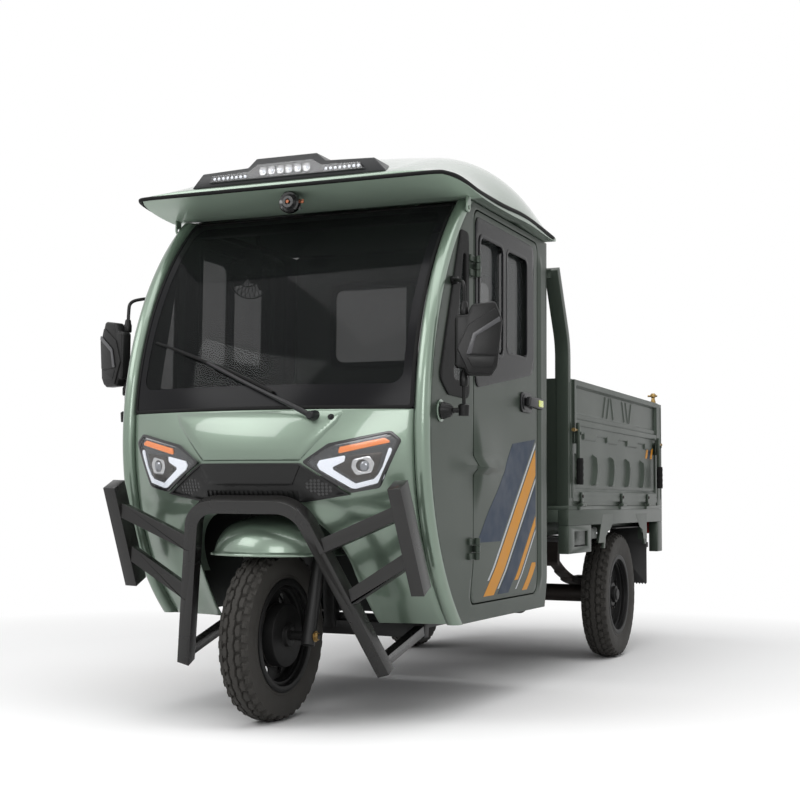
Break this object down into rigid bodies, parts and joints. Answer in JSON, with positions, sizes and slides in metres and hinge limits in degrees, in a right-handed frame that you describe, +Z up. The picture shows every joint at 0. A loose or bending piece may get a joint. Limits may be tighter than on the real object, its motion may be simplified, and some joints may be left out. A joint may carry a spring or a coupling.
{
  "type": "enclosed electric cargo tricycle",
  "caption": "Enclosed cab electric tricycle with a raked bull bar, two hinged doors, a steered front wheel and a tipping load bed with drop sides.",
  "frame": {"origin": "on the ground under the middle of the vehicle", "axes": "+X to the vehicle's left, +Y to its rear, +Z up"},
  "size_m": [1.414, 3.014, 1.8045],
  "materials": {
    "body_green": "metallic gloss",
    "side_green": "satin metallic",
    "bar_black": "satin",
    "chassis_black": "satin",
    "inner_grey": "matte",
    "trim_black": "textured",
    "mirror_black": "gloss",
    "latch_black": "satin",
    "lamp_lens": "clear lens",
    "tail_red": "gloss",
    "flap_rubber": "matte",
    "seat_vinyl": "satin",
    "tinted_glass": "tinted",
    "tyre_rubber": "matte",
    "rim_black": "gloss"
  },
  "bodies": {
    "chassis": {"chassis_frame": "chassis_black", "rear_axle": "chassis_black", "leaf_springs": "chassis_black", "battery_box": "chassis_black", "mud_flaps": "flap_rubber", "bull_bar": "bar_black", "cab_floor": "inner_grey", "nose_panel": "body_green", "hood_panel": "body_green", "headlamps": "lamp_lens", "grille": "trim_black", "front_pillars": "body_green", "windshield": "tinted_glass", "screen_header": "trim_black", "fixed_glass": "tinted_glass", "side_left": "side_green", "side_right": "side_green", "rear_wall": "inner_grey", "roof": "body_green", "roof_lamp": "trim_black", "horn": "trim_black", "wiper": "trim_black", "mirrors": "mirror_black", "dashboard": "trim_black", "driver_seat": "seat_vinyl", "cab_fan": "trim_black"},
    "steering": {"fork": "chassis_black", "front_fender": "body_green", "handlebar": "trim_black"},
    "front_wheel": {"front_tyre": "tyre_rubber", "front_rim": "rim_black"},
    "rear_wheel_left": {"rear_tyre_left": "tyre_rubber", "rear_rim_left": "rim_black"},
    "rear_wheel_right": {"rear_tyre_right": "tyre_rubber", "rear_rim_right": "rim_black"},
    "door_left": {"door_left": "side_green", "door_glass_left": "tinted_glass", "door_handle_left": "trim_black"},
    "door_right": {"door_right": "side_green", "door_glass_right": "tinted_glass", "door_handle_right": "trim_black"},
    "bed": {"bed_floor": "side_green", "bed_bearers": "side_green", "bed_frame": "side_green", "bed_skirts": "side_green", "tail_lamps": "tail_red"},
    "side_gate_left": {"side_gate_left": "side_green", "gate_latches_left": "latch_black"},
    "side_gate_right": {"side_gate_right": "side_green", "gate_latches_right": "latch_black"},
    "tailgate": {"tailgate": "side_green"}
  },
  "joints": [
    {"name": "steer", "type": "hinge", "parent": "chassis", "child": "steering", "pos_m": [0, -1.257, 0.25], "axis": [0, 0.2756, 0.9613], "range_deg": [-35, 35]},
    {"name": "front_wheel_spin", "type": "hinge", "parent": "steering", "child": "front_wheel", "pos_m": [0, -1.257, 0.25], "axis": [1, 0, 0], "continuous": true},
    {"name": "rear_wheel_left_spin", "type": "hinge", "parent": "chassis", "child": "rear_wheel_left", "pos_m": [0.449, 0.863, 0.26], "axis": [1, 0, 0], "continuous": true},
    {"name": "rear_wheel_right_spin", "type": "hinge", "parent": "chassis", "child": "rear_wheel_right", "pos_m": [-0.449, 0.863, 0.26], "axis": [1, 0, 0], "continuous": true},
    {"name": "door_left_swing", "type": "hinge", "parent": "chassis", "child": "door_left", "pos_m": [0.527, -0.9495, 0.9], "axis": [0, 0, -1], "range_deg": [0, 65]},
    {"name": "door_right_swing", "type": "hinge", "parent": "chassis", "child": "door_right", "pos_m": [-0.527, -0.9495, 0.9], "axis": [0, 0, 1], "range_deg": [0, 65]},
    {"name": "bed_tip", "type": "hinge", "parent": "chassis", "child": "bed", "pos_m": [0, 1.358, 0.482], "axis": [-1, 0, 0], "range_deg": [0, 40]},
    {"name": "side_gate_left_drop", "type": "hinge", "parent": "bed", "child": "side_gate_left", "pos_m": [0.548, 0.733, 0.637], "axis": [0, 1, 0], "range_deg": [0, 135]},
    {"name": "side_gate_right_drop", "type": "hinge", "parent": "bed", "child": "side_gate_right", "pos_m": [-0.548, 0.733, 0.637], "axis": [0, -1, 0], "range_deg": [0, 135]},
    {"name": "tailgate_drop", "type": "hinge", "parent": "bed", "child": "tailgate", "pos_m": [0, 1.499, 0.637], "axis": [-1, 0, 0], "range_deg": [0, 160]}
  ]
}
